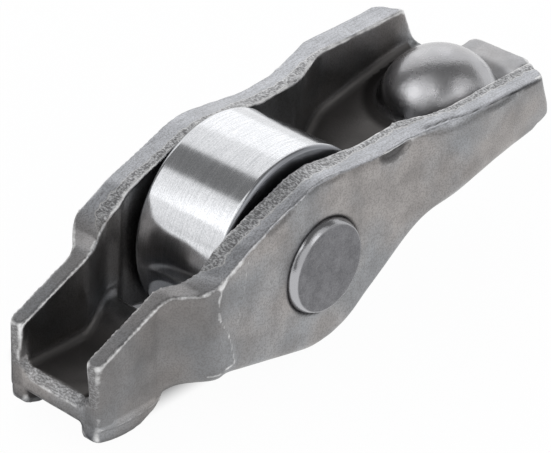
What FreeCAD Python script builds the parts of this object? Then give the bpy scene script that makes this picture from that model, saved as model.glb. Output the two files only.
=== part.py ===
import FreeCAD, Part
import math
import os

# Roller finger follower for an overhead camshaft, all sizes in millimetres.
# X runs from the valve end to the socket end, Y across the arm, Z up towards the cam.
# The origin is the roller's centre, and the axle lies along Y.

# Roller bearing
axle_diameter = 8.0
axle_proud = 0.64
axle_end_bevel = 0.34
axle_hole_clearance = 0.005
axle_hole_bevel = 0.2
roller_diameter = 17.4
roller_width = 8.8
roller_edge_radius = 0.4
race_edge_bevel = 0.2
needle_diameter = 1.75
needle_length = 8.4
needle_count = 17
needle_end_bevel = 0.15
bearing_clearance = 0.012

# Thickness of the two walls and of the web, section by section
valve_wall = 1.45
roller_wall = 2.6
socket_wall = 2.5
pad_web = 2.05
socket_web = 2.2

# Clear width between the walls
valve_channel = 6.8
roller_side_gap = 0.6
bay_coining = 0.1
socket_channel = 13.2

# Stations along X
valve_end = -21.5
inner_jog_start = -14.9
inner_jog_end = -10.9
outer_jog_start = -15.4
outer_jog_end = -11.5
window_front = -10.6
window_back = 11.6
window_corner_radius = 1.5
socket_jog_start = 9.9
socket_jog_end = 15.6
crown_x = 2.0
wall_end = 25.75
wall_end_lean = 25.0
wall_end_roll = 1.6
valve_end_roll = 0.5
tongue_tip = 31.4
tongue_half_width = 3.15
tongue_root_half_width = 6.1
tongue_root_length = 2.6
tongue_corner_radius = 0.7
tongue_root_radius = 1.5

# Upper edge of the walls: X, height at the inner face, height at the outer face, corner radius
edge_line = [
    (valve_end, -1.0, -1.0, 0),
    (-14.2, 2.3, 2.3, 1.5),
    (-12.6, 2.5, 2.55, 1.2),
    (-11.25, 3.1, 3.4, 0.2),
    (-8.8, 5.1, 4.75, 2.5),
    (-0.9, 8.1, 7.7, 7.0),
    (6.4, 7.2, 6.95, 9.0),
    (15.0, 7.85, 7.75, 20.0),
    (wall_end, 8.35, 8.15, 0),
]

# Underside
belly_radius = 7.6
belly_front_slope = 12.5
belly_back_slope = 35.0
pad_height = -6.65
pad_coining = 0.05
pad_back = -15.2
neck_front = -13.2
neck_height = -5.55
plate_front_height = -0.75
plate_tip_height = 2.75
plate_crown = 0.55
neck_radius = 1.6
plate_front_radius = 6.0
plate_crown_radius = 60.0

# Guide lugs each side of the valve pad
lug_depth = 1.0
lug_sweep = 0.35
lug_back_rise = 0.75
lug_back = -14.9
lug_taper = 0.2
lug_setback = 0.04
lug_inner_radius = 0.4
lug_outer_radius = 0.8
lug_sweep_radius = 6.0
lug_back_radius = 0.8
pad_slot_width = 5.8

# Pressed ball socket
socket_x = 22.8
dome_radius = 5.25
dome_rise = 3.95
ball_radius = 3.4
dome_foot_radius = 0.9
dome_foot_level = -0.3
socket_mouth_bevel = 0.4

# Bends and bevels
valve_bend_radius = 1.3
belly_bend_radius = 1.0
socket_bend_radius = 2.6
inner_bend_radius = 0.9
pad_lip_bevel = 0.75
pad_lip_flare = 0.35
station_step = 1.0
corner_share = 0.48

# Room past the model for cutting tools
past = 3.0
above = 14.0

axle_radius = axle_diameter / 2
axle_hole_radius = axle_radius + axle_hole_clearance
roller_radius = roller_diameter / 2
needle_radius = needle_diameter / 2
pitch_radius = axle_radius + bearing_clearance + needle_radius
race_radius = pitch_radius + needle_radius + bearing_clearance
valve_inner = valve_channel / 2
valve_outer = valve_inner + valve_wall
bay_half_width = roller_width / 2 + roller_side_gap
roller_inner = bay_half_width - bay_coining
roller_outer = bay_half_width + roller_wall
socket_inner = socket_channel / 2
socket_outer = socket_inner + socket_wall
socket_end_height = edge_line[-1][1]
valve_end_height = edge_line[0][1]
lean = math.tan(math.radians(wall_end_lean))
inner_jog = (inner_jog_start, inner_jog_end)
outer_jog = (outer_jog_start, outer_jog_end)
stretch_ends = (outer_jog_start, inner_jog_end, crown_x, socket_jog_start, socket_jog_end)


def vec(x, y, z):
    return FreeCAD.Vector(x, y, z)


def side(x, z):
    return vec(x, 0, z)


def plan(x, y):
    return vec(x, y, 0)


def rounded(corners, place, closed=True):
    """Wire through corners given as (u, v, radius), each corner turned on its own radius."""
    points = [place(u, v) for u, v, radius in corners]
    last = len(points) - 1
    starts = []
    ends = []
    arcs = []
    for i, here in enumerate(points):
        radius = corners[i][2]
        if radius == 0 or (not closed and i in (0, last)):
            starts.append(here)
            ends.append(here)
            arcs.append(None)
            continue
        back = points[i - 1] - here
        ahead = points[(i + 1) % len(points)] - here
        half = back.getAngle(ahead) / 2
        setback = min(radius / math.tan(half), corner_share * min(back.Length, ahead.Length))
        reach = setback * (1 - math.sin(half)) / math.cos(half)
        bisector = back.normalize() + ahead.normalize()
        starts.append(here + back * setback)
        ends.append(here + ahead * setback)
        middle = here + bisector.normalize() * reach
        arcs.append(Part.Arc(starts[i], middle, ends[i]).toShape())
    edges = []
    for i in range(len(points)):
        if arcs[i]:
            edges.append(arcs[i])
        if i < last or closed:
            edges.append(Part.LineSegment(ends[i], starts[(i + 1) % len(points)]).toShape())
    return Part.Wire(edges)


def prism(corners, place, low, high):
    """Solid between two levels along the direction that the outline faces."""
    direction = vec(0, 1, 0) if place is side else vec(0, 0, 1)
    face = Part.Face(rounded(corners, place))
    face.translate(direction * low)
    return face.extrude(direction * (high - low))


def mirrored(half_outline):
    return half_outline + [(x, -y, radius) for x, y, radius in reversed(half_outline)]


def blend(x, start, end):
    t = min(1.0, max(0.0, (x - start) / (end - start)))
    return t * t * (3 - 2 * t)


def along(x, jog, valve, roller, socket):
    """A size that changes at the two jogs of the walls."""
    start, end = jog
    size = valve + (roller - valve) * blend(x, start, end)
    return size + (socket - roller) * blend(x, socket_jog_start, socket_jog_end)


def belly_point(angle):
    return side(belly_radius * math.cos(math.radians(angle)), belly_radius * math.sin(math.radians(angle)))


def underside_corners(lift):
    """Lower line of the web: pad, belly round the axle, then the plate up to the tongue."""
    front = belly_point(-90 - belly_front_slope)
    back = belly_point(-90 + belly_back_slope)
    fall = math.tan(math.radians(belly_front_slope))
    rise = math.tan(math.radians(belly_back_slope))
    keel_x = (front.z - back.z + front.x * fall + back.x * rise) / (fall + rise)
    keel_z = back.z + (keel_x - back.x) * rise
    neck_back = front.x - (neck_height - front.z) / fall
    plate_x = back.x + (plate_front_height - back.z) / rise
    middle_x = (plate_x + tongue_tip) / 2
    middle_z = (plate_front_height + plate_tip_height) / 2 + plate_crown
    tip_slope = (plate_tip_height - middle_z) / (tongue_tip - middle_x)
    return [
        (valve_end - past, pad_height + lift, 0),
        (pad_back, pad_height + lift, neck_radius),
        (neck_front, neck_height + lift, neck_radius),
        (neck_back, neck_height + lift, neck_radius),
        (keel_x, keel_z + lift, belly_radius),
        (plate_x, plate_front_height + lift, plate_front_radius),
        (middle_x, middle_z + lift, plate_crown_radius),
        (tongue_tip + 2 * past, plate_tip_height + 2 * past * tip_slope + lift, 0),
    ]


underside = rounded(underside_corners(0), side, closed=False)


def under_height(x):
    upright = Part.makeLine(vec(x, 0, -above), vec(x, 0, above))
    return underside.section(upright).Vertexes[0].Z


def web_at(x):
    return pad_web + (socket_web - pad_web) * blend(x, window_front, window_back)


def channel_section(x, half, bottom, radius, top):
    """Cross-section across the arm with two rounded lower corners."""
    tuck = radius * (1 - math.sqrt(0.5))
    corners = [
        vec(x, half, top),
        vec(x, half, bottom + radius),
        vec(x, half - radius, bottom),
        vec(x, radius - half, bottom),
        vec(x, -half, bottom + radius),
        vec(x, -half, top),
    ]
    left = Part.Arc(corners[1], vec(x, half - tuck, bottom + tuck), corners[2])
    right = Part.Arc(corners[3], vec(x, tuck - half, bottom + tuck), corners[4])
    return Part.Wire([
        Part.LineSegment(corners[0], corners[1]).toShape(),
        left.toShape(),
        Part.LineSegment(corners[2], corners[3]).toShape(),
        right.toShape(),
        Part.LineSegment(corners[4], corners[5]).toShape(),
        Part.LineSegment(corners[5], corners[0]).toShape(),
    ])


def drawn_form(start, end, width_at, bottom_at, radius_at, top):
    """Smooth solid through cross-sections along the arm, one stretch after another."""
    inside = [x for x in stretch_ends if start < x < end]
    solid = None
    for low, high in zip([start] + inside, inside + [end]):
        steps = math.ceil((high - low) / station_step)
        stations = [low + (high - low) * i / steps for i in range(steps + 1)]
        sections = [channel_section(x, width_at(x), bottom_at(x), radius_at(x), top) for x in stations]
        stretch = Part.makeLoft(sections, True, False, False, 5)
        solid = solid.fuse(stretch) if solid else stretch
    return solid


def outer_form():
    def width_at(x):
        return along(x, outer_jog, valve_outer, roller_outer, socket_outer)

    def radius_at(x):
        return along(x, outer_jog, valve_bend_radius, belly_bend_radius, socket_bend_radius)

    return drawn_form(valve_end, tongue_tip + past, width_at, under_height, radius_at, above)


def channel_form():
    def width_at(x):
        return along(x, inner_jog, valve_inner, roller_inner, socket_inner)

    def bottom_at(x):
        return under_height(x) + web_at(x)

    def radius_at(x):
        return inner_bend_radius

    start = valve_end - past / 2
    end = tongue_tip + 1.5 * past
    return drawn_form(start, end, width_at, bottom_at, radius_at, above + past)


def edge_wire(y, inner_y, outer_y):
    """Outline of everything over the walls' upper edge, at one level across the arm."""
    share = (y - inner_y) / (outer_y - inner_y)
    line = [(x, low + (high - low) * share, radius) for x, low, high, radius in edge_line]
    first, second = line[0], line[1]
    slope = (second[1] - first[1]) / (second[0] - first[0])
    line[0] = (first[0] - past, first[1] - past * slope, 0)
    line[-1] = (wall_end + 2 * past, line[-1][1], 0)
    line.append((wall_end + 2 * past, above + past, 0))
    line.append((valve_end - past, above + past, 0))
    return rounded(line, lambda x, z: vec(x, y, z))


def above_edge():
    """Everything over the upper edges, which fall a little from the inner to the outer face."""
    wires = [edge_wire(y, roller_inner, roller_outer) for y in (0, socket_outer + past)]
    half = Part.makeLoft(wires, True, True)
    return half.fuse(half.mirror(vec(0, 0, 0), vec(0, 1, 0)))


def end_cut():
    """Slanted cut that ends both walls, leaving the tongue of the plate below them."""
    top = wall_end - (above - socket_end_height) * lean
    low = wall_end + (socket_end_height + above) * lean
    far = tongue_tip + above
    line = [(top, above, 0), (low, -above, 0), (far, -above, 0), (far, above, 0)]
    root = wall_end + lean * (socket_end_height - plate_tip_height - socket_web)
    outline = mirrored([
        (wall_end - socket_wall, tongue_root_half_width, 0),
        (root, tongue_root_half_width, tongue_corner_radius),
        (tongue_tip - tongue_root_length, tongue_half_width, tongue_root_radius),
        (tongue_tip, tongue_half_width, tongue_corner_radius),
    ])
    reach = socket_outer + past
    return prism(line, side, -reach, reach).cut(prism(outline, plan, -above, above))


def rolled_corner(x, y, radius, lean_by):
    """What a rounded outer corner takes off a wall end, on the +Y side, along the slant of that end."""
    toward = math.copysign(1, x)
    centre = vec(x - toward * radius + lean_by * above, y - radius, -above)
    rise = vec(-2 * lean_by * above, 0, 2 * above)
    corners = [(0, 0, 0), (toward * past, 0, 0), (toward * past, past, 0), (0, past, 0)]
    block = Part.Face(rounded(corners, plan))
    block.translate(centre)
    round_bar = Part.Face(Part.Wire(Part.makeCircle(radius, centre)))
    return block.extrude(rise).cut(round_bar.extrude(rise))


def rolled_corners():
    end = wall_end + lean * socket_end_height
    back = rolled_corner(end, socket_outer, wall_end_roll, lean)
    front = rolled_corner(valve_end, valve_outer, valve_end_roll, 0)
    left = [back, front]
    return left + [shape.mirror(vec(0, 0, 0), vec(0, 1, 0)) for shape in left]


def roller_window():
    outline = mirrored([
        (window_front, bay_half_width, window_corner_radius),
        (window_back, bay_half_width, window_corner_radius),
    ])
    return prism(outline, plan, -above, above)


def pad_coin():
    """Shallow flat pressed into the underside, where the valve stem bears."""
    half = pad_slot_width / 2 + lug_inner_radius
    outline = mirrored([(valve_end - past, half, 0), (neck_front, half, 0)])
    return prism(outline, plan, pad_height - past, pad_height + pad_coining)


def lug():
    """Guide lug that hangs beside the valve pad, on the +Y side."""
    inner = pad_slot_width / 2
    top = pad_height + valve_bend_radius
    tip = pad_height - lug_depth
    lowest = tip - lug_sweep
    outer = valve_outer - lug_setback
    profile = [
        (inner, lowest, lug_inner_radius),
        (outer - lug_taper, lowest, lug_outer_radius),
        (outer, pad_height + lug_taper, 0),
        (outer, top, 0),
        (inner, top, 0),
    ]
    face = Part.Face(rounded(profile, lambda y, z: vec(valve_end, y, z)))
    bar = face.extrude(vec(lug_back - valve_end, 0, 0))
    middle = (valve_end + lug_back) / 2
    sweep = [
        (valve_end - past, tip + lug_sweep, 0),
        (middle, lowest, lug_sweep_radius),
        (lug_back, tip + lug_back_rise, lug_back_radius),
        (lug_back, top + past, 0),
        (valve_end - past, top + past, 0),
    ]
    return bar.common(prism(sweep, side, 0, valve_outer + past))


def lip_section(x, half, floor, corner, flare):
    """Channel outline with bevelled lower corners, flared by a given amount below the edge."""
    points = [
        (half, above),
        (half, valve_end_height),
        (half + flare, floor + corner),
        (half + flare - corner, floor),
    ]
    points = points + [(-y, z) for y, z in reversed(points)]
    return Part.makePolygon([vec(x, y, z) for y, z in points + points[:1]])


def pad_lip():
    """Bevel round the front mouth of the pad channel."""
    floor = pad_height + pad_web
    flare = pad_lip_flare / pad_lip_bevel
    ahead = pad_lip_bevel + past
    sections = [
        lip_section(valve_end - past, valve_inner, floor - ahead, inner_bend_radius, flare * ahead),
        lip_section(valve_end + pad_lip_bevel, valve_inner, floor, inner_bend_radius, 0),
    ]
    return Part.makeLoft(sections, True, True)


def dome_frame():
    """Placement of the ball socket: Z along its axis, square to the plate's upper face."""
    step = 0.5
    slope = math.degrees(math.atan2(under_height(socket_x + step) - under_height(socket_x - step), 2 * step))
    seat = vec(socket_x, 0, under_height(socket_x) + web_at(socket_x))
    return FreeCAD.Placement(seat, FreeCAD.Rotation(vec(0, 1, 0), -slope))


def revolved(profile):
    """Solid turned about local Z from an outline of (radius, height, corner radius)."""
    face = Part.Face(rounded(profile, side))
    return face.revolve(vec(0, 0, 0), vec(0, 0, 1), 360)


def dome():
    centre = dome_rise - dome_radius
    ball = Part.makeSphere(dome_radius, side(0, centre))
    ring_level = dome_foot_level + dome_foot_radius
    ring_reach = math.sqrt((dome_radius + dome_foot_radius) ** 2 - (ring_level - centre) ** 2)
    touch = centre + (ring_level - centre) * dome_radius / (dome_radius + dome_foot_radius)
    ring = Part.makeTorus(ring_reach, dome_foot_radius, side(0, ring_level))
    foot = Part.makeCylinder(ring_reach, touch - dome_foot_level, side(0, dome_foot_level)).cut(ring)
    buried = dome_foot_level - socket_web / 2
    cap = ball.common(Part.makeCylinder(dome_radius, dome_rise - buried, side(0, buried)))
    solid = cap.fuse(foot)
    solid.Placement = dome_frame()
    return solid


def socket_bore():
    centre = dome_rise - dome_radius
    mouth = -socket_web
    solid = Part.makeSphere(ball_radius, side(0, centre))
    solid = solid.fuse(Part.makeCylinder(ball_radius, centre - mouth + past, side(0, mouth - past)))
    bevel = Part.makeCone(ball_radius + past, ball_radius, past, side(0, mouth + socket_mouth_bevel - past))
    solid = solid.fuse(bevel)
    solid.Placement = dome_frame()
    return solid


def arm_body():
    body = outer_form().cut(channel_form()).cut(above_edge()).cut(end_cut())
    body = body.cut(roller_window()).cut(pad_lip()).cut(pad_coin())
    left = lug()
    body = body.fuse([left, left.mirror(vec(0, 0, 0), vec(0, 1, 0))]).cut(rolled_corners())
    body = body.fuse(dome()).cut(socket_bore())
    return body.cut(axle_hole()).removeSplitter()


def across(profile):
    """Solid turned about the axle from an outline of (radius, Y, corner radius)."""
    face = Part.Face(rounded(profile, plan))
    return face.revolve(vec(0, 0, 0), vec(0, 1, 0), 360)


def axle_hole():
    """Tool for the hole through both walls, widened a little at each outer face."""
    end = roller_outer + 2 * past
    depth = roller_outer - axle_hole_bevel
    return across([
        (0, -end, 0),
        (axle_hole_radius + past, -end, 0),
        (axle_hole_radius + past, -depth - past, 0),
        (axle_hole_radius, -depth, 0),
        (axle_hole_radius, depth, 0),
        (axle_hole_radius + past, depth + past, 0),
        (axle_hole_radius + past, end, 0),
        (0, end, 0),
    ])


def axle_pin():
    end = roller_outer + axle_proud
    flat = axle_radius - axle_end_bevel
    return across([
        (0, -end, 0),
        (flat, -end, 0),
        (axle_radius, -roller_outer, 0),
        (axle_radius, roller_outer, 0),
        (flat, end, 0),
        (0, end, 0),
    ])


def roller_ring():
    half = roller_width / 2
    return across([
        (race_radius + race_edge_bevel, -half, 0),
        (roller_radius, -half, roller_edge_radius),
        (roller_radius, half, roller_edge_radius),
        (race_radius + race_edge_bevel, half, 0),
        (race_radius, half - race_edge_bevel, 0),
        (race_radius, race_edge_bevel - half, 0),
    ])


def needle(index):
    half = needle_length / 2
    tip = needle_radius - needle_end_bevel
    roller = across([
        (0, -half, 0),
        (tip, -half, 0),
        (needle_radius, needle_end_bevel - half, 0),
        (needle_radius, half - needle_end_bevel, 0),
        (tip, half, 0),
        (0, half, 0),
    ])
    roller.translate(vec(pitch_radius, 0, 0))
    roller.rotate(vec(0, 0, 0), vec(0, 1, 0), 360 * index / needle_count)
    return roller


nodes = {"arm_body": arm_body(), "axle_pin": axle_pin(), "roller_ring": roller_ring()}
for index in range(needle_count):
    nodes["needle_%02d" % (index + 1)] = needle(index)

os.makedirs("parts", exist_ok=True)
for name, shape in nodes.items():
    shape.exportStep("parts/" + name + ".step")
    print(name, shape.isValid(), len(shape.Solids), round(shape.Volume, 1))
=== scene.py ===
import math
from types import SimpleNamespace

import bmesh
import bpy
import numpy as np
from mathutils import Matrix, Vector, noise
from mathutils.bvhtree import BVHTree
from mathutils.kdtree import KDTree


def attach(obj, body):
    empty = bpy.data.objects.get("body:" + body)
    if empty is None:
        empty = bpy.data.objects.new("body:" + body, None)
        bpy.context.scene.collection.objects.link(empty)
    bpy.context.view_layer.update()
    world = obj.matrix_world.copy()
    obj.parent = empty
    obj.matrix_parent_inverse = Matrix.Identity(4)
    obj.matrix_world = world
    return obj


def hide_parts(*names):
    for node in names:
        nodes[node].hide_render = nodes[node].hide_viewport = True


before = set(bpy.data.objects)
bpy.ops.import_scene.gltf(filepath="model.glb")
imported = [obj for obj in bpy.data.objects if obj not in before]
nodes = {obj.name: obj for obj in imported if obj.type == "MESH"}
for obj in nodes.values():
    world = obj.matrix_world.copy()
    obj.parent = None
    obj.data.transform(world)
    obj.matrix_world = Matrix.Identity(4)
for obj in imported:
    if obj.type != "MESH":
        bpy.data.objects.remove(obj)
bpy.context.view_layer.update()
mm = 0.001
white = (1, 1, 1, 1)
print("frame loaded:", len(nodes), "CAD nodes")


def linear(code):
    # sRGB hex to the linear colour that a socket takes
    parts = [int(code[i:i + 2], 16) / 255 for i in (1, 3, 5)]
    return [p / 12.92 if p <= 0.04045 else ((p + 0.055) / 1.055) ** 2.4 for p in parts] + [1.0]


def addNode(tree, kind, inputs=None, **settings):
    # an input may be a value, a socket, or a node, which then gives its first output in use
    node = tree.nodes.new(kind)
    for name, value in settings.items():
        setattr(node, name, value)
    for name, value in (inputs or {}).items():
        if isinstance(value, bpy.types.Node):
            value = next(s for s in value.outputs if s.enabled)
        if isinstance(value, bpy.types.NodeSocket):
            tree.links.new(value, node.inputs[name])
        else:
            node.inputs[name].default_value = value
    return node


def smoothStep(low, high, values):
    # 0 at low and 1 at high, also where low is the larger of the two
    t = np.clip((values - low) / (high - low), 0, 1)
    return t * t * (3 - 2 * t)


def newMaterial(name):
    material = bpy.data.materials.new(name)
    material.use_nodes = True
    material.node_tree.nodes.clear()
    return material, material.node_tree


def placeObject(name, data):
    obj = bpy.data.objects.new(name, data)
    bpy.context.scene.collection.objects.link(obj)
    return obj


def paint(obj, name, values):
    obj.data.attributes.new(name, "FLOAT", "POINT").data.foreach_set("value", values.astype(np.float32))


def shadeSmooth(mesh):
    mesh.polygons.foreach_set("use_smooth", [True] * len(mesh.polygons))


armFinish = {
    "dark": "#6f6d6c",
    "warm": "#a39f9d",
    "cool": "#999b9e",
    "light": "#c2c1c0",
    "rim": "#babcc1",
    "smooth": "#8f9195",
    "crumbDark": "#7f7f81",
    "crumbLight": "#cbccce",
    # edge: worn edges, partly real wear and partly painted highlights on edges, ridges, burrs and the rear flare
    "edge": "#f2f2f2",
    # inside: the channel's inside, partly scale and partly painted shade, and painted shade on the front's outer
    # faces
    "inside": "#5f5d5c",
    # soot: painted shade in deep corners, laps and the lap line, and painted shadows round the dome's foot and the
    # pin
    "paintedShade": "#1d1b1b",
    "dome": "#c2c2c5",
    # noise patterns: size in millimetres, detail, and how X, Y and Z are scaled, less than 1 being drawn out.
    # Real tumbling grit leaves pits of 0.02 to 0.05 mm: grain and crumb are as coarse as they need to be to show.
    "patterns": {
        "blotch": (2.6, 6.0, (1, 1, 1)),
        "tint": (7.0, 3.0, (1, 1, 1)),
        "grain": (0.13, 3.0, (1, 1, 1)),
        "crumb": (0.13, 4.0, (1, 0.45, 1)),
        "ragged": (0.7, 5.0, (1, 1, 1)),
        "drag": (0.25, 4.0, (1, 1, 0.12)),
        "groove": (0.16, 4.0, (0.06, 1, 0.5)),
    },
    # what is read off a pattern: its name, the stretch of its values, and what that stretch becomes
    "readings": {
        "wander": ("ragged", (0.3, 0.7), (-0.07, 0.07)),
        "patchy": ("ragged", (0.3, 0.7), (-0.14, 0.14)),
        "warmth": ("tint", (0.4, 0.6), (0, 1)),
        "crumbs": ("crumb", (0.42, 0.6), (0, 1)),
        "spots": ("blotch", (0.6, 0.36), (0, 0.3)),
        "specks": ("grain", (0.55, 0.38), (0, 0.45)),
        "streaks": ("drag", (0.52, 0.75), (0, 0.12)),
        "drawn": ("groove", (0.5, 0.62), (0, 0.4)),
        "roughness": ("blotch", (0.35, 0.65), (0.47, 0.34)),
    },
    # the value at which each of these begins, the one at which it is full, and its most
    "broken": (-0.02, 0.03, 1.0),
    "smoothBand": (0.0, -0.05, 1.0),
    "burr": (0.035, 0.01, 0.45),
    "rubbed": (0.4, 0.75, 0.9),
    # how much rougher or smoother these are than the rest
    "roughBroken": 0.04,
    "roughSmooth": -0.04,
    "roughDome": -0.21,
    "roughEdge": 0.12,
    "crumbRelief": 2.0,
    "dimpleRelief": 2.0,
    "bumpDepth": 0.02,
    "bumpStrength": 0.7,
}


def armMaterial():
    # Case-hardened pressed steel, quenched and tumbled: satin mottled grey, bright on rubbed edges with painted
    # highlights on edges, ridges and burrs, crumbly where the press sheared it, with painted shade in corners and
    # hollows and a darker inside, partly scale.
    material, tree = newMaterial("tumbledPressedSteel")
    where = addNode(tree, "ShaderNodeTexCoord").outputs["Object"]
    mask = {}
    for name in ("wearAndHighlight", "paintedShade", "rim", "coarse", "cut", "inside", "dome"):
        mask[name] = addNode(tree, "ShaderNodeAttribute", attribute_name=name).outputs["Fac"]
    pattern = {}
    for name, (size, detail, stretch) in armFinish["patterns"].items():
        mapped = addNode(tree, "ShaderNodeMapping", {"Vector": where, "Scale": stretch})
        pattern[name] = addNode(tree, "ShaderNodeTexNoise", {
            "Vector": mapped, "Scale": 1 / (size * mm), "Detail": detail})
    share = {}
    for name, (source, (low, high), (start, end)) in armFinish["readings"].items():
        share[name] = addNode(tree, "ShaderNodeMapRange", {
            "Value": pattern[source], "From Min": low, "From Max": high, "To Min": start, "To Max": end})

    # the sheared band ends in a ragged line that stands up as a burr with a painted highlight,
    # and rubbed edges show as a thin bright line that comes and goes, partly wear and partly painted highlight
    depth = addNode(tree, "ShaderNodeMath", {0: mask["coarse"], 1: share["wander"]}, operation="ADD")
    gap = addNode(tree, "ShaderNodeMath", {0: depth}, operation="ABSOLUTE")
    wear = addNode(tree, "ShaderNodeMath", {0: mask["wearAndHighlight"], 1: share["patchy"]}, operation="ADD")
    for name, value in (("broken", depth), ("smoothBand", depth), ("burr", gap), ("rubbed", wear)):
        begins, full, most = armFinish[name]
        share[name] = addNode(tree, "ShaderNodeMapRange", {
            "Value": value, "From Min": begins, "From Max": full, "To Max": most})
    for name, other, operation in (
        ("broken", mask["rim"], "MULTIPLY"),
        ("smoothBand", mask["rim"], "MULTIPLY"),
        ("burr", mask["rim"], "MULTIPLY"),
        ("broken", mask["cut"], "MAXIMUM"),
    ):
        share[name] = addNode(tree, "ShaderNodeMath", {0: share[name], 1: other}, operation=operation)
    # painted highlight with the wear: rubbed and burr lines take the bright edge colour
    edge = addNode(tree, "ShaderNodeMath", {0: share["rubbed"], 1: share["burr"]}, operation="MAXIMUM")
    drawn = addNode(tree, "ShaderNodeMath", {0: share["drawn"], 1: share["smoothBand"]}, operation="MULTIPLY")

    body = addNode(tree, "ShaderNodeMix", {
        0: share["warmth"], 6: linear(armFinish["cool"]), 7: linear(armFinish["warm"])}, data_type="RGBA")
    crumbColor = addNode(tree, "ShaderNodeMix", {
        0: share["crumbs"], 6: linear(armFinish["crumbDark"]), 7: linear(armFinish["crumbLight"])}, data_type="RGBA")
    # each colour is laid over those before it
    layers = [
        (share["spots"], "dark"), (share["streaks"], "light"), (share["smoothBand"], "rim"), (drawn, "smooth"),
        (share["broken"], crumbColor), (share["specks"], "dark"), (mask["inside"], "inside"),
        (mask["dome"], "dome"), (edge, "edge"), (mask["paintedShade"], "paintedShade"),
    ]
    for amount, color in layers:
        over = linear(armFinish[color]) if isinstance(color, str) else color.outputs[2]
        body = addNode(tree, "ShaderNodeMix", {0: amount, 6: body.outputs[2], 7: over}, data_type="RGBA")

    rough = share["roughness"]
    for amount, change in (
        (share["broken"], "roughBroken"),
        (share["smoothBand"], "roughSmooth"),
        (mask["dome"], "roughDome"),
        (edge, "roughEdge"),
    ):
        step = addNode(tree, "ShaderNodeMath", {0: amount, 1: armFinish[change]}, operation="MULTIPLY")
        rough = addNode(tree, "ShaderNodeMath", {0: rough, 1: step}, operation="ADD")

    # fine grit with faint drawing marks, coarse crumbs where it is broken, soft dimples on the dome
    grit = addNode(tree, "ShaderNodeMath", {0: pattern["grain"], 1: pattern["drag"]}, operation="ADD")
    coarse = addNode(tree, "ShaderNodeMath", {
        0: pattern["crumb"], 1: armFinish["crumbRelief"]}, operation="MULTIPLY")
    dimples = addNode(tree, "ShaderNodeMath", {
        0: pattern["ragged"], 1: armFinish["dimpleRelief"], 2: pattern["grain"]}, operation="MULTIPLY_ADD")
    relief = addNode(tree, "ShaderNodeMix", {0: share["broken"], 2: grit, 3: coarse}, data_type="FLOAT")
    relief = addNode(tree, "ShaderNodeMix", {0: mask["dome"], 2: relief, 3: dimples}, data_type="FLOAT")
    bump = addNode(tree, "ShaderNodeBump", {
        "Height": relief, "Distance": armFinish["bumpDepth"] * mm, "Strength": armFinish["bumpStrength"]})
    shader = addNode(tree, "ShaderNodeBsdfPrincipled", {
        "Base Color": body.outputs[2], "Metallic": 1.0, "Roughness": rough, "Normal": bump})
    addNode(tree, "ShaderNodeOutputMaterial", {"Surface": shader})
    return material


rollerFinish = {
    "bright": "#e8e9ec",
    "shade": "#cacccf",
    "side": "#989a9f",
    # least and most on the tread, and on the side faces
    "roughness": (0.11, 0.17),
    "sideRoughness": 0.3,
    # noise patterns, as for the arm. Real grinding lines are about 0.01 mm apart: these are as coarse as they
    # need to be to show.
    "patterns": {
        "lines": (0.07, 4.0, (0.03, 1.0, 0.03)),
        "bands": (0.9, 3.0, (0.03, 1.0, 0.03)),
        "specks": (0.13, 2.0, (1, 1, 1)),
    },
    "bumpDepth": 0.0016,
}


def rollerMaterial():
    # Bearing steel, through-hardened and centreless ground: fine rings round the axis.
    material, tree = newMaterial("groundBearingSteel")
    where = addNode(tree, "ShaderNodeTexCoord").outputs["Object"]
    pattern = {}
    for name, (size, detail, stretch) in rollerFinish["patterns"].items():
        mapped = addNode(tree, "ShaderNodeMapping", {"Vector": where, "Scale": stretch})
        pattern[name] = addNode(tree, "ShaderNodeTexNoise", {
            "Vector": mapped, "Scale": 1 / (size * mm), "Detail": detail})
    side = addNode(tree, "ShaderNodeAttribute", attribute_name="side").outputs["Fac"]
    mixed = addNode(tree, "ShaderNodeMath", {0: pattern["lines"], 1: pattern["specks"]}, operation="ADD")
    tone = addNode(tree, "ShaderNodeMapRange", {"Value": mixed, "From Min": 0.75, "From Max": 1.25})
    color = addNode(tree, "ShaderNodeMix", {
        0: tone, 6: linear(rollerFinish["shade"]), 7: linear(rollerFinish["bright"])}, data_type="RGBA")
    color = addNode(tree, "ShaderNodeMix", {
        0: side, 6: color.outputs[2], 7: linear(rollerFinish["side"])}, data_type="RGBA")
    least, most = rollerFinish["roughness"]
    rough = addNode(tree, "ShaderNodeMapRange", {
        "Value": pattern["bands"], "From Min": 0.35, "From Max": 0.65, "To Min": least, "To Max": most})
    rough = addNode(tree, "ShaderNodeMix", {0: side, 2: rough, 3: rollerFinish["sideRoughness"]}, data_type="FLOAT")
    bump = addNode(tree, "ShaderNodeBump", {
        "Height": mixed, "Distance": rollerFinish["bumpDepth"] * mm, "Strength": 0.6})
    shader = addNode(tree, "ShaderNodeBsdfPrincipled", {
        "Base Color": color, "Metallic": 1.0, "Roughness": rough, "Normal": bump})
    addNode(tree, "ShaderNodeOutputMaterial", {"Surface": shader})
    return material


pinFinish = {
    "face": "#646467",
    "scuff": "#838386",
    "bevel": "#adadb0",
    "faceRoughness": 0.44,
    "bevelRoughness": 0.17,
    # sizes of the patterns and depth of the scratches, in millimetres, the scratches coarser than real ones to show
    "blotch": 1.1,
    "scratch": 0.1,
    "bumpDepth": 0.012,
}


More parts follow.
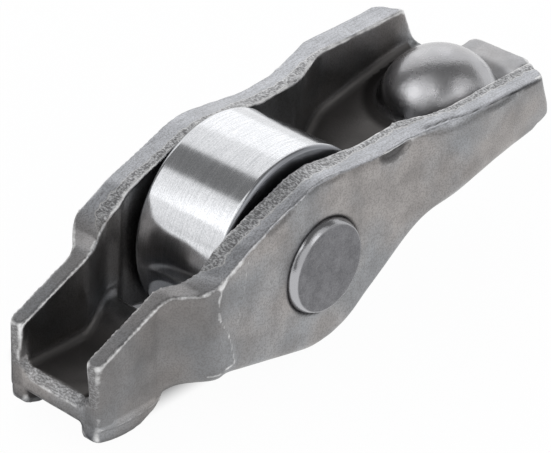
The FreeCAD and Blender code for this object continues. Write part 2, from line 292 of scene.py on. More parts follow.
def pinMaterial():
    # Hardened steel pin: end faces matt from heat treatment, the turned bevel round them bright.
    material, tree = newMaterial("mattHardenedPinSteel")
    where = addNode(tree, "ShaderNodeTexCoord").outputs["Object"]
    bevel = addNode(tree, "ShaderNodeAttribute", attribute_name="bevel").outputs["Fac"]
    blotches = addNode(tree, "ShaderNodeTexNoise", {
        "Vector": where, "Scale": 1 / (pinFinish["blotch"] * mm), "Detail": 6.0, "Roughness": 0.65})
    scratches = addNode(tree, "ShaderNodeTexNoise", {
        "Vector": where, "Scale": 1 / (pinFinish["scratch"] * mm), "Detail": 3.0})
    mixed = addNode(tree, "ShaderNodeMath", {0: blotches, 1: scratches}, operation="ADD")
    tone = addNode(tree, "ShaderNodeMapRange", {"Value": mixed, "From Min": 0.75, "From Max": 1.25})
    color = addNode(tree, "ShaderNodeMix", {
        0: tone, 6: linear(pinFinish["face"]), 7: linear(pinFinish["scuff"])}, data_type="RGBA")
    color = addNode(tree, "ShaderNodeMix", {0: bevel, 6: color, 7: linear(pinFinish["bevel"])}, data_type="RGBA")
    rough = addNode(tree, "ShaderNodeMix", {
        0: bevel, 2: pinFinish["faceRoughness"], 3: pinFinish["bevelRoughness"]}, data_type="FLOAT")
    bump = addNode(tree, "ShaderNodeBump", {
        "Height": scratches, "Distance": pinFinish["bumpDepth"] * mm, "Strength": 0.6})
    shader = addNode(tree, "ShaderNodeBsdfPrincipled", {
        "Base Color": color, "Metallic": 1.0, "Roughness": rough, "Normal": bump})
    addNode(tree, "ShaderNodeOutputMaterial", {"Surface": shader})
    return material


needleFinish = {"shade": "#a8a7a6", "bright": "#d2d2d3", "film": 0.8, "roughness": (0.14, 0.26)}


def needleMaterial():
    # Lapped roller steel with a film of oil left in the bearing.
    material, tree = newMaterial("lappedNeedleSteel")
    where = addNode(tree, "ShaderNodeTexCoord").outputs["Object"]
    film = addNode(tree, "ShaderNodeTexNoise", {
        "Vector": where, "Scale": 1 / (needleFinish["film"] * mm), "Detail": 3.0})
    tone = addNode(tree, "ShaderNodeMapRange", {"Value": film, "From Min": 0.35, "From Max": 0.65})
    color = addNode(tree, "ShaderNodeMix", {
        0: tone, 6: linear(needleFinish["shade"]), 7: linear(needleFinish["bright"])}, data_type="RGBA")
    least, most = needleFinish["roughness"]
    rough = addNode(tree, "ShaderNodeMapRange", {
        "Value": film, "From Min": 0.3, "From Max": 0.7, "To Min": least, "To Max": most})
    shader = addNode(tree, "ShaderNodeBsdfPrincipled", {"Base Color": color, "Metallic": 1.0, "Roughness": rough})
    addNode(tree, "ShaderNodeOutputMaterial", {"Surface": shader})
    return material


armSteel = armMaterial()
rollerSteel = rollerMaterial()
pinSteel = pinMaterial()
needleSteel = needleMaterial()
print("materials made")


# lengths are in millimetres, in the frame of the CAD: X from the valve end to the socket end, near is -Y
arm = {
    # size of the even grid of faces, and how many times it is evened out, then softened once shaped
    "voxel": 0.192,
    "evening": 4,
    "softening": 1,
    # CAD edges sharper than this many degrees stay clean lines: points this near, in voxels, go onto them
    "sharp": 35,
    "snap": 0.55,
    # X, height at the inner face, height at the outer face of the walls' upper edge
    "edgeLine": [
        (-21.5, -1, -1), (-14.2, 2.3, 2.3), (-12.6, 2.5, 2.55), (-11.25, 3.1, 3.4), (-8.8, 5.1, 4.75),
        (-0.9, 8.1, 7.7), (6.4, 7.2, 6.95), (15, 7.85, 7.75), (25.75, 8.35, 8.15),
    ],
    "innerFace": [(-14.9, 3.4), (-10.9, 4.9), (9.9, 4.9), (15.6, 6.6)],
    "outerFace": [(-15.4, 4.85), (-11.5, 7.6), (9.9, 7.6), (15.6, 9.1)],
    # share of the upper edge, from its inner side, that the press broke off coarse, by X
    "coarseNear": [
        (-21.5, -0.3), (-12.0, -0.2), (-10.4, 0.5), (-4, 0.58), (2, 0.6), (5, 0.4), (12, 0.34), (25, 0.42),
    ],
    "coarseFar": [
        (-21.5, -0.3), (-13.5, -0.2), (-11, 0.5), (-6, 0.35), (1, 0.2), (4, 0.45), (13, 0.42), (16, 0.15), (25, -0.2),
    ],
    "domeCentre": (23.03, 0.0, 2.4),
    "domeRadius": 5.25,
    # how far the flat faces and the broken ones are out of true, and how far the sheared band lies back
    "waviness": 0.035,
    "fracture": 0.035,
    "sunkBand": 0.05,
    # size of each uneven pattern, and the fixed offset that keeps it apart from the others
    "noises": {"waviness": (3.2, 11.0), "fracture": (0.6, 31.0), "burr": (0.9, 57.0), "patchy": (0.8, 83.0)},
    # how far the rolled shoulder sets the near wall's upper edge back from its outer face, by X
    "shoulder": [
        (-9, 0.0), (-6.6, 0.1), (-2, 0.12), (1, 0.16), (6, 0.3), (8.9, 0.12), (10.5, 0.2), (11.8, 0.38),
        (13.8, 0.55), (15.4, 0.4), (18.2, 0.25), (21.2, 0.15), (24.9, 0.05),
    ],
    "shoulderDepth": 0.8,
    "shoulderCurve": 1.6,
    "shoulderRun": (-9, 25),
    "farShoulder": 0.6,
    # ridges left on the outer faces where the sheet folded round the jogs: path in X and Z, width, height
    "ridges": [
        ([(-11.3, 3.4), (-11.7, 2.0), (-11.8, 0.3), (-10.9, -1.2), (-10.1, -2.7), (-9.8, -4.4), (-10.9, -4.6),
          (-12.2, -4.7)], 0.18, 0.07),
        ([(-8.7, 4.1), (-9.1, 2.2), (-9.4, 0.5), (-9.7, -0.9)], 0.13, 0.05),
        ([(12.5, 6.8), (13.4, 5.6), (14.1, 3.9), (14.6, 2.6)], 0.15, 0.025),
        ([(17.3, 6.9), (17.6, 5.4), (18.2, 4.2)], 0.15, 0.025),
    ],
    # laps pressed in just under the upper edge: centre X, width, height, depth, and the far wall's share of it
    "laps": [(-5.2, 1.7, 0.45, 0.12), (-0.2, 2.4, 0.4, 0.1), (8.1, 2.0, 0.95, 0.3), (19.3, 2.2, 0.6, 0.14)],
    "farLaps": 0.25,
    # a painted shadow line in a shallow groove where the rolled shoulder laps over the near wall's outer face, its
    # width and depth
    "lapLine": [
        (11.83, -7.32, 7.46), (13.77, -7.75, 7.61), (15.4, -8.44, 7.72), (18.22, -8.73, 7.77), (21.21, -8.91, 7.83),
        (24.93, -9.1, 7.82),
    ],
    "lapWidth": 0.13,
    "lapDepth": 0.08,
    # the lugs' outer faces step in below this height, ahead of this X, by this much
    "lugStep": (-6.45, -14.0, 0.12),
    # the lugs' undersides belly down between these two X by this much
    "lugBelly": (-21.8, -13.6, 0.7),
    # the walls' rear ends: start of the taper, the share that is kept, and the lower corner's centre and radius
    "rearEnd": (23.5, 0.78, 24.6, 4.9, 1.25),
    # how far the burrs hang over the roller gap, on the far and the near wall
    "hangFar": 0.32,
    "hangNear": 0.1,
    # how far a point stands out from the evened surface where it is rubbed bright, partly real wear and partly a
    # painted highlight, and more so on the pad's lip
    "rubbedProud": 0.065,
    "lipWear": 0.35,
    # how often the surface is evened before what stands out or lies deep is measured
    "wearPasses": 4,
    "shadePasses": 20,
    # how strongly these take their finish, from 0 to 1, the front's outer faces taking painted shade
    "cutShare": 0.7,
    "domeShare": 0.75,
    "tongueShare": 0.35,
    "frontShadeShare": 0.5,
    # the painted shade inside is lifted at the front jogs: centre and half length in X, and how much, near and far
    "jogShadeLift": (-10.3, 2.5, 0.6, 0.95),
    # brightness of the painted highlight on a ridge with no height, what each millimetre adds, and on the lugs' line
    # and the rear flare
    "ridgeShine": (0.36, 3.4),
    "lugShine": 0.56,
    "flareShine": 0.75,
    # painted shade in deep corners, round the dome's foot, round the pin, in the lap line, and in a lap 1 mm deep
    "deepShade": 0.8,
    "footShadow": 0.85,
    "boreShadow": 0.8,
    "lapLineShadow": 0.85,
    "lapShade": 2.2,
}


def readVertices(mesh, field="co"):
    values = np.zeros(len(mesh.vertices) * 3, np.float32)
    mesh.vertices.foreach_get(field, values)
    return values.reshape(-1, 3).astype(float)


def writeVertices(mesh, points):
    mesh.vertices.foreach_set("co", points.astype(np.float32).ravel())
    mesh.update()


class Skin:
    # a mesh's points and edges as plain arrays, in millimetres
    def __init__(self, mesh):
        self.mesh = mesh
        self.points = readVertices(mesh)
        edges = np.zeros(len(mesh.edges) * 2, np.int32)
        mesh.edges.foreach_get("vertices", edges)
        self.edges = edges.reshape(-1, 2)
        self.count = np.maximum(np.bincount(edges, minlength=len(self.points)), 1)

    def average(self, values):
        # each point's mean over its neighbours
        a, b = self.edges.T
        size = len(self.count)
        return (np.bincount(a, values[b], size) + np.bincount(b, values[a], size)) / self.count

    def smoothed(self, points, passes):
        for _ in range(passes):
            points = 0.5 * points + 0.5 * np.stack([self.average(points[:, k]) for k in range(3)], 1)
        return points

    def normals(self):
        writeVertices(self.mesh, self.points)
        return readVertices(self.mesh, "normal")

    def proud(self, normal, passes):
        # how far each point stands out from the surface smoothed that often
        return np.einsum("ij,ij->i", self.points - self.smoothed(self.points, passes), normal)


def sharpLines(solid):
    # points every 0.03 mm along the sharp edges
    line = []
    for edge in solid.edges:
        if len(edge.link_faces) == 2 and edge.calc_face_angle() > math.radians(arm["sharp"]):
            a, b = (v.co for v in edge.verts)
            steps = max(1, int((b - a).length / 0.03))
            line += [a.lerp(b, i / steps) for i in range(steps + 1)]
    tree = KDTree(len(line))
    for i, point in enumerate(line):
        tree.insert(point, i)
    tree.balance()
    return tree


def fineCopy(node):
    # copied in millimetres, welded, laid out again as an even grid of small faces, and brought back to the surface
    work = placeObject("work", node.data.copy())
    work.data.transform(Matrix.Scale(1 / mm, 4))
    work.data.materials.clear()
    solid = bmesh.new()
    solid.from_mesh(work.data)
    bmesh.ops.remove_doubles(solid, verts=solid.verts, dist=0.0005)
    solid.to_mesh(work.data)
    surface = BVHTree.FromBMesh(solid)
    corners = sharpLines(solid)
    solid.free()
    grid = work.modifiers.new("grid", "REMESH")
    grid.mode = "VOXEL"
    grid.voxel_size = arm["voxel"]
    result = bpy.data.meshes.new_from_object(work.evaluated_get(bpy.context.evaluated_depsgraph_get()))
    bpy.data.objects.remove(work)
    skin = Skin(result)
    snapped = []
    for point in skin.smoothed(skin.points, arm["evening"]).tolist():
        corner, _, away = corners.find(point)
        snapped.append(corner if away < arm["snap"] * arm["voxel"] else surface.find_nearest(point)[0])
    skin.points = np.array(snapped)
    return skin


def noiseAt(points, kind):
    # two octaves, the second twice as fine and half as strong
    size, offset = arm["noises"][kind]
    return np.array([noise.fractal(Vector(p), 1.0, 2.0, 2) for p in points / size + offset])


def pathDistance(points, path):
    # how far each point is from the nearest run of the path
    nearest = np.full(len(points), 1e9)
    for a, b in zip(np.array(path[:-1]), np.array(path[1:])):
        t = np.clip(((points - a) @ (b - a)) / ((b - a) @ (b - a)), 0, 1)
        nearest = np.minimum(nearest, np.linalg.norm(points - a - t[:, None] * (b - a), axis=1))
    return nearest


def along(x, table, column=1):
    # what a table of the arm's dictionary says at each X
    table = np.array(table)
    return np.interp(x, table[:, 0], table[:, column])


def rolledFace(x, y):
    # how far out the outer face is, and how far its shoulder is rolled in
    return along(x, arm["outerFace"]), along(x, arm["shoulder"]) * np.where(y < 0, 1.0, arm["farShoulder"])


def shapeWalls(skin):
    x, y, z = skin.points.T.copy()

    # the shoulder under the upper edge is rolled in, more at the rear jog
    outer, roll = rolledFace(x, y)
    under = np.clip(1 - (along(x, arm["edgeLine"], 2) - z) / arm["shoulderDepth"], 0, 1)
    limit = outer - roll * under ** arm["shoulderCurve"]
    first, last = arm["shoulderRun"]
    skin.points[:, 1] = np.where((np.abs(y) > limit) & (x > first) & (x < last), np.sign(y) * limit, y)

    # the lugs' undersides belly down
    front, back, drop = arm["lugBelly"]
    lengthwise = np.clip((x - front) / (back - front), 0, 1)
    lower = smoothStep(-5.2, -6.8, z) * smoothStep(2.85, 3.0, np.abs(y))
    skin.points[:, 2] -= drop * np.sin(np.pi * lengthwise) * lower

    # the walls end a little short, with a round lower corner
    start, kept, cornerX, cornerZ, radius = arm["rearEnd"]
    wall = smoothStep(6.8, 7.8, np.abs(y))
    x = np.where(x > start, x - wall * (x - start) * (1 - kept), x)
    reach = np.maximum(np.hypot(x - cornerX, z - cornerZ), 1e-6)
    pull = wall * np.where((x > cornerX) & (z < cornerZ), np.minimum(radius / reach, 1) - 1, 0)
    skin.points[:, 0] = x + pull * (x - cornerX)
    skin.points[:, 2] += pull * (z - cornerZ)
    skin.points = skin.smoothed(skin.points, arm["softening"])


def findZones(skin, normal):
    # where each point lies on the arm, and how much it belongs to each finish, from 0 to 1
    x, y, z = skin.points.T.copy()
    across = np.abs(y)
    innerTop, outerTop = along(x, arm["edgeLine"], 1), along(x, arm["edgeLine"], 2)
    inner = along(x, arm["innerFace"])
    outer, roll = rolledFace(x, y)
    share = (across - inner) / (outer - roll - inner)  # 0 at the inner face, 1 at the outer edge

    # the walls' sheared upper edge, fainter towards the valve end, and the part of it that broke off coarse
    rim = smoothStep(0.45, 0.7, normal[:, 2]) * (z > np.minimum(innerTop, outerTop) - 0.9)
    rim *= smoothStep(-0.25, -0.05, share) * (x < 26.2) * (x > -21.4) * (0.3 + 0.7 * smoothStep(-12.5, -10.5, x))
    coarse = np.where(y < 0, along(x, arm["coarseNear"]), along(x, arm["coarseFar"])) - share
    coarse = np.clip(coarse, -1, 1)
    broken = rim * smoothStep(-0.1, 0.1, coarse)
    bay = smoothStep(-9.5, -8.5, x) * (1 - smoothStep(2.0, 4.5, x)) * (y < 0)  # the near wall beside the roller

    # the valve end's cut faces
    wallFront = smoothStep(0.6, 0.9, -normal[:, 0]) * (x < -21.0) * smoothStep(-4.9, -4.4, z) * (across > 3.2)
    lip = smoothStep(0.3, 0.5, -normal[:, 0]) * smoothStep(0.3, 0.5, normal[:, 2]) * (z < -3.6) * (x < -20)
    cut = arm["cutShare"] * np.maximum(wallFront, lip)

    # the pressed dome, the hollow round its foot that gets a painted shadow, and the tongue behind it
    away = np.linalg.norm(skin.points - np.array(arm["domeCentre"]), axis=1) - arm["domeRadius"]
    dome = (1 - smoothStep(0.05, 0.5, away)) * (z > 1.5) * (across < 5.6)
    domeFootShadow = smoothStep(-0.2, 0.2, away) * smoothStep(1.7, 0.9, away) * smoothStep(5.5, 4.0, z)
    domeFootShadow = domeFootShadow * (z > 0.5) * (across < 6)
    tongue = smoothStep(24.5, 25.5, x) * (across < 5.2) * smoothStep(0.5, 0.7, normal[:, 2])

    # the inside of the channel darker, partly scale and partly painted shade, less so at the front jogs, and painted
    # shade on the front's outer faces, half as dark
    enclosed = (1 - smoothStep(-0.02, 0.1, share)) * (1 - smoothStep(-0.5, -0.1, z - innerTop))
    enclosed = enclosed * (x > -21.2) * (x < 26.5)
    # painted shade: what looks up inside the channel is darkened most
    upward = np.clip(1.3 - smoothStep(-0.6, -0.3, -normal[:, 2]), 0, 1)  # what looks up is the darkest
    centre, half, near, far = arm["jogShadeLift"]
    jogShadeKept = 1 - np.where(y > 0, far, near) * np.exp(-((x - centre) / half) ** 2)
    above = z > -6.3
    inside = enclosed * (1 - tongue) * np.clip(1 - dome - lip, 0, 1) * above * upward * jogShadeKept
    frontFace = smoothStep(-9.5, -13.0, x) * smoothStep(-0.2, 0.2, share) * (1 - rim) * above
    # painted shade on the front's outer faces
    inside = np.maximum(inside, arm["frontShadeShare"] * frontFace)

    outward = smoothStep(0.45, 0.8, np.sign(y) * normal[:, 1]) * (across > 4.5)
    # painted highlight along the near wall's rear flare
    rearFlareHighlight = smoothStep(21.5, 24.5, x) * smoothStep(0.72, 0.9, share) * (z > 7.9) * (y < 0)
    return SimpleNamespace(
        x=x, y=y, z=z, across=across, innerTop=innerTop, outerTop=outerTop, share=share, rim=rim, coarse=coarse,
        broken=broken, bay=bay, lip=lip, cut=cut, dome=dome, domeFootShadow=domeFootShadow, tongue=tongue, inside=inside,
        outward=outward, rearFlareHighlight=rearFlareHighlight, bore=np.hypot(x, z))


def pressMarks(skin, normal, at, flat):
    # press work leaves the flat faces gently uneven, and the broken part of a sheared edge coarse
    push = noiseAt(skin.points, "waviness") * arm["waviness"] * (1 - 0.7 * at.rim) * (1 - at.dome)
    push += noiseAt(skin.points, "fracture") * arm["fracture"] * np.maximum(at.broken, at.cut)
    push -= arm["sunkBand"] * at.broken * at.bay
    patchy = np.clip(0.95 + 0.4 * noiseAt(skin.points, "patchy"), 0.85, 1.1)

    # ridges get a painted highlight, the higher the brighter
    paintedHighlight = np.zeros(len(at.x))
    flatShine, shinePerHeight = arm["ridgeShine"]
    for path, width, height in arm["ridges"]:
        path = [(px + 0.15 * np.sin(3 * pz), pz) for px, pz in path]
        near = at.outward * np.exp(-(pathDistance(skin.points[:, [0, 2]], path) / width) ** 2)
        push += height * near
        paintedHighlight = np.maximum(paintedHighlight, near * (flatShine + shinePerHeight * height) * patchy)

    # painted shade in the laps and the lap line, and a painted shadow round the pin's bore
    recessShade = np.zeros(len(at.x))
    for centre, width, height, depth in arm["laps"]:
        reach = ((at.x - centre) / width) ** 2 + ((at.outerTop - at.z - 0.1) / height) ** 2
        pressed = at.outward * (1 - smoothStep(0.35, 1.0, reach)) * np.where(at.y < 0, 1, arm["farLaps"])
        push -= depth * pressed
        recessShade = np.maximum(recessShade, arm["lapShade"] * depth * pressed)
    lap = np.exp(-(pathDistance(skin.points, arm["lapLine"]) / arm["lapWidth"]) ** 2)
    push -= arm["lapDepth"] * lap
    recessShade = np.maximum(recessShade, arm["lapLineShadow"] * lap * patchy)
    recessShade = np.maximum(recessShade, arm["boreShadow"] * at.outward * smoothStep(4.3, 4.1, at.bore))

    # the lugs step in sideways under a painted highlight line
    stepZ, stepX, stepDepth = arm["lugStep"]
    lug = smoothStep(3.9, 4.3, at.across) * smoothStep(stepZ + 0.05, stepZ - 0.1, flat[:, 1])
    lug = lug * smoothStep(stepX + 0.4, stepX - 0.4, at.x)
    skin.points[:, 1] -= np.sign(at.y) * stepDepth * lug
    line = at.outward * (at.x < stepX) * np.exp(-((flat[:, 1] - stepZ - 0.08) / 0.08) ** 2)
    # painted highlights on the lug line and the rear flare
    paintedHighlight = np.maximum(paintedHighlight, arm["lugShine"] * line * patchy)
    paintedHighlight = np.maximum(paintedHighlight, arm["flareShine"] * at.rearFlareHighlight)
    skin.points += normal * push[:, None]
    return paintedHighlight, recessShade


def hangBurrs(skin, at):
    # a burr hangs over the roller gap along the far wall, and a finer one along the near wall
    x, y, z = skin.points.T
    hang = smoothStep(-0.45, -0.05, z - at.innerTop) * (1 - smoothStep(0.0, 0.25, at.share))
    hang = hang * smoothStep(-11, -9, x) * (1 - smoothStep(7, 10, x))
    ragged = 0.75 + 0.5 * noiseAt(skin.points, "burr")
    skin.points[:, 1] -= np.sign(y) * hang * ragged * np.where(y > 0, arm["hangFar"], arm["hangNear"])


def makeArm():
    skin = fineCopy(nodes["arm_body"])
    flat = skin.points[:, [0, 2]]  # side view before the lugs' bellies are pushed down
    shapeWalls(skin)
    normal = skin.normals()
    at = findZones(skin, normal)
    paintedHighlight, recessShade = pressMarks(skin, normal, at, flat)
    hangBurrs(skin, at)

    # points that stand out are rubbed bright, partly a painted highlight, and those that lie deep get painted shade
    normal = skin.normals()
    proud = skin.proud(normal, arm["wearPasses"])
    worn = np.clip(proud / arm["rubbedProud"], 0, 1) * (1 + arm["lipWear"] * at.lip)
    for _ in range(2):
        worn = 0.5 * worn + 0.5 * skin.average(worn)
    # worn edges joined by the painted highlights
    wearAndHighlight = np.maximum(worn * (1 - at.dome) * smoothStep(4.1, 4.5, at.bore), paintedHighlight)
    # painted shade where points lie deep
    cornerShade = smoothStep(0.05, 0.25, -skin.proud(normal, arm["shadePasses"])) * arm["deepShade"]
    paintedShade = np.maximum.reduce([cornerShade, recessShade, arm["footShadow"] * at.domeFootShadow])

    skin.points *= mm
    mesh = skin.mesh
    writeVertices(mesh, skin.points)
    obj = placeObject("armBody", mesh)
    dome = np.maximum(arm["domeShare"] * at.dome, arm["tongueShare"] * at.tongue)
    masks = {"wearAndHighlight": wearAndHighlight, "paintedShade": paintedShade, "rim": at.rim, "coarse": at.coarse, "cut": at.cut,
             "inside": at.inside, "dome": dome}
    for name, values in masks.items():
        paint(obj, name, values)
    mesh.materials.append(armSteel)
    shadeSmooth(mesh)
    print("arm:", len(mesh.vertices), "vertices")
    return obj


def arc(centreX, centreY, radius, start, end, steps):
    turns = [math.radians(start + (end - start) * i / steps) for i in range(steps + 1)]
    return [(centreX + radius * math.cos(t), centreY + radius * math.sin(t)) for t in turns]


def turned(name, profile, segments, material, closed):
    # profile is (radius, y) in millimetres; a closed one makes a ring, an open one ends on the axis
    made = bmesh.new()
    rings = []
    turns = [2 * math.pi * i / segments for i in range(segments)]
    for radius, y in profile:
        around = turns if radius > 1e-6 else [0]
        rings.append([made.verts.new((radius * mm * math.cos(t), y * mm, radius * mm * math.sin(t))) for t in around])
    pairs = list(zip(rings, rings[1:])) + ([(rings[-1], rings[0])] if closed else [])
    for a, b in pairs:
        for i in range(segments):
            j = (i + 1) % segments
            corners = [a[i % len(a)], a[j % len(a)], b[j % len(b)], b[i % len(b)]]
            made.faces.new([c for k, c in enumerate(corners) if c not in corners[:k]])
    bmesh.ops.recalc_face_normals(made, faces=made.faces)
    mesh = bpy.data.meshes.new(name)
    made.to_mesh(mesh)
    made.free()
    shadeSmooth(mesh)
    mesh.materials.append(material)
    return placeObject(name, mesh)


# in millimetres: half the width, the radius of the race that the needles run on, and the edges' rounding
roller = {"radius": 8.7, "half": 4.4, "race": 5.774, "edge": 0.4, "chamfer": 0.2, "segments": 192}


def makeRoller():
    # rings of points beside each edge keep the faces next to it flat
    r, h, e = roller["radius"], roller["half"], roller["edge"]
    race, c = roller["race"], roller["chamfer"]
    profile = [(r, -h + e + 0.05), (r, -1.5), (r, 1.5), (r, h - e - 0.05)] + arc(r - e, h - e, e, 0, 90, 6)
    profile += [(race + c + 0.5, h), (race + c, h), (race + 0.3 * c, h - 0.3 * c), (race, h - c), (race, 1.5)]
    profile += [(race, -1.5), (race, -h + c), (race + 0.3 * c, -h + 0.3 * c), (race + c, -h), (race + c + 0.5, -h)]
    profile += arc(r - e, -h + e, e, -90, 0, 6)
    obj = turned("rollerRing", profile, roller["segments"], rollerSteel, True)
    x, y, z = readVertices(obj.data).T / mm
    paint(obj, "side", smoothStep(h - 0.8 * e, h - 0.4 * e, np.abs(y)) * (np.hypot(x, z) > race + c))
    return obj


# in millimetres: half the length, and the bevel's width across the end face and along the pin
pin = {"radius": 4.0, "half": 8.24, "bevel": 0.29, "depth": 0.64, "segments": 128}


def makePin():
    r, h, b, d = pin["radius"], pin["half"], pin["bevel"], pin["depth"]
    low = [(0, -h), (1.6, -h), (3.0, -h), (r - b - 0.12, -h), (r - b, -h + 0.03), (r - 0.04, -h + d - 0.05),
           (r, -h + d + 0.06)]
    profile = low + [(r, -h + 2), (r, h - 2)] + [(a, -y) for a, y in reversed(low)]
    obj = turned("axlePin", profile, pin["segments"], pinSteel, False)
    x, y, z = readVertices(obj.data).T / mm
    paint(obj, "bevel", smoothStep(r - b - 0.1, r - b, np.hypot(x, z)) * smoothStep(h - d - 0.2, h - d, np.abs(y)))
    return obj


# in millimetres: the pitch circle's radius, and a needle's radius, half length and bevel
bearing = {"pitch": 4.887, "needle": 0.875, "half": 4.2, "bevel": 0.15, "count": 17, "segments": 28}


def needleTree():
    # one needle put at each point of the pitch circle
    tree = bpy.data.node_groups.new("needleRow", "GeometryNodeTree")
    tree.interface.new_socket("Geometry", in_out="OUTPUT", socket_type="NodeSocketGeometry")
    named = {}
    for label, kind, value in (
        ("Count", "NodeSocketInt", bearing["count"]),
        ("Pitch Radius", "NodeSocketFloat", bearing["pitch"] * mm),
        ("Needle", "NodeSocketObject", None),
    ):
        item = tree.interface.new_socket(label, in_out="INPUT", socket_type=kind)
        if value is not None:
            item.default_value = value
        named[label] = item.identifier
    start = addNode(tree, "NodeGroupInput")
    circle = addNode(tree, "GeometryNodeMeshCircle", {
        "Vertices": start.outputs["Count"], "Radius": start.outputs["Pitch Radius"]})
    turn = addNode(tree, "GeometryNodeTransform", {"Geometry": circle, "Rotation": (math.radians(90), 0, 0)})
    info = addNode(tree, "GeometryNodeObjectInfo", {"Object": start.outputs["Needle"]})
    put = addNode(tree, "GeometryNodeInstanceOnPoints", {"Points": turn, "Instance": info.outputs["Geometry"]})
    real = addNode(tree, "GeometryNodeRealizeInstances", {"Geometry": put})
    finish = addNode(tree, "GeometryNodeSetMaterial", {"Geometry": real, "Material": needleSteel})
    addNode(tree, "NodeGroupOutput", {"Geometry": finish})
    return tree, named


def makeNeedles():
    r, h, b = bearing["needle"], bearing["half"], bearing["bevel"]
    end = [(0, -h), (r - b, -h), (r - 0.3 * b, -h + 0.3 * b), (r, -h + b)]
    profile = end + [(a, -y) for a, y in reversed(end)]
    single = turned("singleNeedle", profile, bearing["segments"], needleSteel, False)
    tree, named = needleTree()
    holder = placeObject("needleRow", bpy.data.meshes.new("needleRow"))
    row = holder.modifiers.new("needles", "NODES")
    row.node_group = tree
    row[named["Needle"]] = single
    mesh = bpy.data.meshes.new_from_object(holder.evaluated_get(bpy.context.evaluated_depsgraph_get()))
    holder.modifiers.remove(row)
    holder.data = mesh
    shadeSmooth(mesh)
    bpy.data.objects.remove(single)
    return holder


armBody = makeArm()
rollerRing = makeRoller()
axlePin = makePin()
needleRow = makeNeedles()
for piece, body, slot, stoodFor in (
    (armBody, "arm", "arm_steel", ["arm_body"]),
    (axlePin, "arm", "axle_steel", ["axle_pin"]),
    (rollerRing, "roller", "roller_steel", ["roller_ring"]),
    (needleRow, "needle_set", "needle_steel", ["needle_%02d" % (i + 1) for i in range(bearing["count"])]),
):
    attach(piece, body)
    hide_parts(*stoodFor)
print("pieces made")


studio = {
    "paper": "#a4a5a8",
    "floorLevel": -8.72,
    "floorHalf": 1.5,  # in metres
    # how much of the floor's own shade the camera and the mirror-like rays miss
    "cameraShare": 0.875,
    "mirrorShare": 0.95,
    "glow": 1.1,
    # stretch of floor that keeps its shade: centre X and Y, half lengths, and how far it takes to clear
    "cameraShade": (-4.5, 3.5, 10.5, 4.5, 3.0),
    "mirrorShade": (-2.0, 5.0, 20.0, 8.0, 4.0),
    # soft boxes: azimuth from +X towards +Y, elevation, half width, rim, all in degrees, and brightness
    "boxes": [
        (48, 27, 41, 3, 1.0), (155, 28, 25, 4, 1.0), (171, 44, 22, 6, 1.0), (199, 49, 5, 5, 1.9),
        (166, 10, 26, 8, 0.85), (-78, 38, 25, 6, 0.8), (-116, 17, 28, 7, 0.9), (-45, 8, 24, 8, 0.6),
        (-8, 14, 17, 6, 0.95),
    ],
    "dim": 0.21,
}


def direction(azimuth, elevation):
    a, e = math.radians(azimuth), math.radians(elevation)
    return Vector((math.cos(a) * math.cos(e), math.sin(a) * math.cos(e), math.sin(e)))


def makeWorld():
    # soft boxes in a dim room, and plain white behind the object
    world = bpy.data.worlds.new("studio")
    bpy.context.scene.world = world
    world.use_nodes = True
    tree = world.node_tree
    tree.nodes.clear()
    look = addNode(tree, "ShaderNodeTexCoord").outputs["Generated"]
    total = addNode(tree, "ShaderNodeValue")
    total.outputs[0].default_value = studio["dim"]
    for azimuth, elevation, half, rim, brightness in studio["boxes"]:
        facing = addNode(tree, "ShaderNodeVectorMath", {
            0: look, 1: direction(azimuth, elevation)}, operation="DOT_PRODUCT")
        outside, within = (math.cos(math.radians(angle)) for angle in (half + rim, half))
        box = addNode(tree, "ShaderNodeMapRange", {
            "Value": facing.outputs["Value"], "From Min": outside, "From Max": within,
            "To Max": brightness}, interpolation_type="SMOOTHSTEP")
        total = addNode(tree, "ShaderNodeMath", {0: total, 1: box}, operation="MAXIMUM")
    seen = addNode(tree, "ShaderNodeLightPath").outputs["Is Camera Ray"]
    level = addNode(tree, "ShaderNodeMix", {0: seen, 2: total, 3: 1.0}, data_type="FLOAT")
    background = addNode(tree, "ShaderNodeBackground", {"Color": white, "Strength": level})
    addNode(tree, "ShaderNodeOutputWorld", {"Surface": background})


def floorShare(tree, where, seen, shade, most):
    # none inside the stretch, rising to the most outside it, for the rays that the switch picks
    middleX, middleY, halfX, halfY, clearing = shade
    away = where
    for operation, other in (
        ("SUBTRACT", (middleX * mm, middleY * mm, 0)),
        ("ABSOLUTE", None),
        ("SUBTRACT", (halfX * mm, halfY * mm, 1)),
        ("MAXIMUM", (0, 0, 0)),
        ("LENGTH", None),
    ):
        inputs = {0: away} if other is None else {0: away, 1: other}
        away = addNode(tree, "ShaderNodeVectorMath", inputs, operation=operation)
    clear = addNode(tree, "ShaderNodeMapRange", {
        "Value": away.outputs["Value"], "From Max": clearing * mm, "To Max": most}, interpolation_type="SMOOTHSTEP")
    return addNode(tree, "ShaderNodeMath", {0: seen, 1: clear}, operation="MULTIPLY")


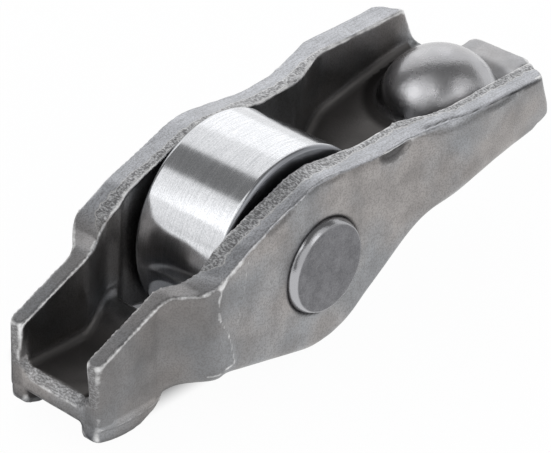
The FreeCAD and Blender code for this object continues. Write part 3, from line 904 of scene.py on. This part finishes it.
def makeFloor():
    # white studio paper: it glows to the camera and in reflections, and keeps its shade close to the object
    material, tree = newMaterial("whiteStudioPaper")
    path = addNode(tree, "ShaderNodeLightPath")
    where = addNode(tree, "ShaderNodeTexCoord").outputs["Object"]
    mirror = addNode(tree, "ShaderNodeMath", {
        0: path.outputs["Is Glossy Ray"], 1: path.outputs["Is Transmission Ray"]}, operation="MAXIMUM")
    direct = floorShare(tree, where, path.outputs["Is Camera Ray"], studio["cameraShade"], studio["cameraShare"])
    mirrored = floorShare(tree, where, mirror, studio["mirrorShade"], studio["mirrorShare"])
    share = addNode(tree, "ShaderNodeMath", {0: direct, 1: mirrored}, operation="MAXIMUM")
    diffuse = addNode(tree, "ShaderNodeBsdfDiffuse", {"Color": linear(studio["paper"])})
    glow = addNode(tree, "ShaderNodeEmission", {"Color": white, "Strength": studio["glow"]})
    mix = addNode(tree, "ShaderNodeMixShader", {0: share, 1: diffuse, 2: glow})
    addNode(tree, "ShaderNodeOutputMaterial", {"Surface": mix})
    half, level = studio["floorHalf"], studio["floorLevel"] * mm
    corners = [(-half, -half, level), (half, -half, level), (half, half, level), (-half, half, level)]
    mesh = bpy.data.meshes.new("floor")
    mesh.from_pydata(corners, [], [(0, 1, 2, 3)])
    mesh.materials.append(material)
    placeObject("floor", mesh)


lamps = [
    # name, azimuth, elevation, distance and size in metres, power in watts
    ("leftLamp", 155, 34, 0.32, 0.16, 0.05),
    ("backLamp", 46, 30, 0.34, 0.20, 0.04),
    ("sideLamp", -85, 40, 0.34, 0.12, 0.04),
]


def makeLamps():
    for name, azimuth, elevation, distance, size, power in lamps:
        data = bpy.data.lights.new(name, "AREA")
        data.size = size
        data.energy = power
        lamp = placeObject(name, data)
        towards = direction(azimuth, elevation)
        lamp.location = towards * distance
        lamp.rotation_euler = towards.to_track_quat("Z", "Y").to_euler()


camera = {
    # place in millimetres, and the directions to the picture's right and top
    "place": (-136.1395, -121.3426, 108.7468),
    "right": (0.673495, -0.738272, 0.036859),
    "up": (0.356482, 0.368078, 0.858743),
    "lens": 176.4,
    "nearest": 0.01,
    "furthest": 10,
}


def makeCamera():
    data = bpy.data.cameras.new("camera")
    data.lens = camera["lens"]
    data.clip_start = camera["nearest"]
    data.clip_end = camera["furthest"]
    obj = placeObject("camera", data)
    right, up = Vector(camera["right"]), Vector(camera["up"])
    turn = Matrix((right, up, right.cross(up))).transposed().to_4x4()
    obj.matrix_world = Matrix.Translation(Vector(camera["place"]) * mm) @ turn
    bpy.context.scene.camera = obj


makeWorld()
makeFloor()
makeLamps()
makeCamera()
bpy.context.scene.view_settings.view_transform = "Standard"
print("stage made")
